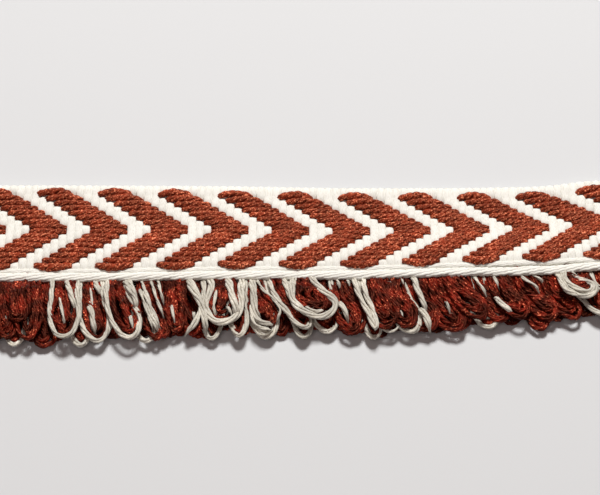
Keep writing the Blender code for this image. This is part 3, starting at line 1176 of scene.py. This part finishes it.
def under_bundles():
    draw = random.Random(23)
    found = []
    x = -LENGTH / 2 / MM + UNDER_ROOM
    while x + UNDER_LEGS < LENGTH / 2 / MM - UNDER_ROOM:
        lean = LEAN_LEFT + LEAN_MORE * smooth((x - LEAN_FROM) / LEAN_OVER)
        tip = x + UNDER_LEGS / 2 + lean
        reach = lie_at(x * MM, "loop_reach") / MM - draw.uniform(*UNDER_SHORTER)
        level = draw.choice(UNDER_LEVELS)
        found.append(Bundle(x, x + UNDER_LEGS, tip, reach, UNDER_WIDTH, level, draw.choice(UNDER_YARNS)))
        x += UNDER_STEP
    return found


print(f"{len(under_bundles())} loops in the layer underneath")

# %% [markdown]
# ## Making the fringe
# Hundreds of objects would be hard to handle, so the loops become three pieces: the off-white yarns, the
# rust ones that show and the ones underneath.

# %% Making the fringe
# How far a yarn lies inside the one before it: thin yarns pack closer
NEST_STEPS = {"B": 0.80, "W": 0.66, "w": 0.5, "R": 0.70}


def nested(bundle):
    """Each yarn of a bundle, and how far it lies inside the outermost."""
    inset = 0
    for kind in bundle.yarns:
        yield kind, inset
        inset += NEST_STEPS[kind]


def add_fringe():
    draw = random.Random(41)
    white, rust, under = [], [], []
    for bundle in all_bundles():
        for kind, inset in nested(bundle):
            strands = rust if kind == "R" else white
            strands += loop_yarn(bundle, inset, kind, LOOP_SPACING, draw)
    for show in all_shows():
        white += show_yarn(show, draw)
    for bundle in under_bundles():
        for kind, inset in nested(bundle):
            under += loop_yarn(bundle, inset, kind, UNDER_SPACING, draw)
    spin("off_white_loops", white, WHITE_SECTION, "off_white_cotton")
    # The rust loops take the viscose with painted shade, as the loops lie in more shade
    loops = spin("rust_loops", rust, RUST_SECTION, "rust_viscose_loops")
    spin("rust_under_loops", under, RUST_SECTION._replace(points=4), "rust_viscose_loops")
    return loops, {"off_white_cotton": white, "rust_viscose_loops": rust}


rust_loops, spun_yarns = add_fringe()

# %% [markdown]
# ## Loose fibres
# Here and there a fibre's end works loose, and that halo makes a yarn look soft. A hair system isn't part
# of an exported mesh, so each fibre is a strand of three sides that curves away from a ply.

# %% Loose fibres
FIBRE_SECTION = Section(across=0.014 * MM, high=0.014 * MM, points=3)
FIBRE_REACH = 0.45 * MM
FIBRE_REACHES = (0.5, 1.6)
FIBRE_LEAN = 1.2
# A fibre's points as shares of its reach, and its width at each
FIBRE_SHARES = (0, 0.4, 0.75, 1)
FIBRE_WIDTHS = [1.0, 0.9, 0.7, 0.4]
# The rust fibres take the loops' viscose with painted shade
FIBRES = {"off_white_cotton": 1500, "rust_viscose_loops": 1300}


def loose_fibre(strand, draw):
    i = draw.randrange(1, len(strand.line) - 1)
    along = (strand.line[i + 1] - strand.line[i - 1]).normalized()
    away = Vector((draw.gauss(0, 1), draw.gauss(0, 1), abs(draw.gauss(0, 1)))).normalized()
    reach = FIBRE_REACH * draw.uniform(*FIBRE_REACHES)
    lean = draw.uniform(-FIBRE_LEAN, FIBRE_LEAN)
    line = []
    for share in FIBRE_SHARES:
        place = strand.line[i] + (away * share + along * (lean * share**2)) * reach
        place.z = max(FIBRE_SECTION.high * 2, place.z)
        line.append(place)
    return Strand(line, FIBRE_WIDTHS, strand.shade)


def add_fibres():
    draw = random.Random(67)
    for material, strands in spun_yarns.items():
        fibres = [loose_fibre(draw.choice(strands), draw) for k in range(FIBRES[material])]
        spin(material + "_fibres", fibres, FIBRE_SECTION, material)


add_fibres()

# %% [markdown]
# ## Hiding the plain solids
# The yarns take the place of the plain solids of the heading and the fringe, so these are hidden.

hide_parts("heading")
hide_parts("loop_fringe")
print("heading and fringe replaced")

# %% [markdown]
# ## The floor
# The trim lies on a plain pale surface, matt, because a gloss would mirror the lights.

# %% The floor
FLOOR_SIZE = 3.0


def add_floor():
    bpy.ops.mesh.primitive_plane_add(size=FLOOR_SIZE)
    floor = bpy.context.object
    floor.name = floor.data.name = "pale_floor"
    # Painted board: matt all over, so it only takes shadow
    material, shader = new_material("matt_painted_board", 0.85, "#ffffff")
    shader.inputs["Base Color"].default_value = colour("#d1d4d7")
    floor.data.materials.append(material)
    print(f"a floor of {FLOOR_SIZE:.0f} m")


add_floor()

# %% [markdown]
# ## The light
# The main light is a soft box behind and above the trim, so the loops throw their shadow towards the
# camera. A strong light from the camera's side would flatten the weave, so a weak one there and a dim
# room only keep the shadows open.

# %% The light
ROOM_STRENGTH = 0.075


def add_soft_box(name, place, size, power, tint):
    """A square light that faces the trim, its place and size in metres."""
    place = Vector(place)
    bpy.ops.object.light_add(type="AREA", location=place)
    light = bpy.context.object
    light.name = name
    light.rotation_euler = (-place).to_track_quat("-Z", "Y").to_euler()
    light.data.size = size
    light.data.energy = power
    light.data.color = colour(tint)[:3]
    print(f"{name}: {power} W, {size:.2f} m wide")


def add_room():
    world = bpy.data.worlds.new("soft_room")
    bpy.context.scene.world = world
    world.use_nodes = True
    background = world.node_tree.nodes["Background"]
    background.inputs["Color"].default_value = colour("#ffdcd4")
    background.inputs["Strength"].default_value = ROOM_STRENGTH


add_soft_box("back_soft_box", place=(0.05, 0.43, 0.70), size=0.20, power=8.2, tint="#fffcf8")
add_soft_box("front_fill", place=(-0.15, -0.50, 0.80), size=0.60, power=1.35, tint="#ffeee8")
add_room()
bpy.context.scene.view_settings.view_transform = "Standard"
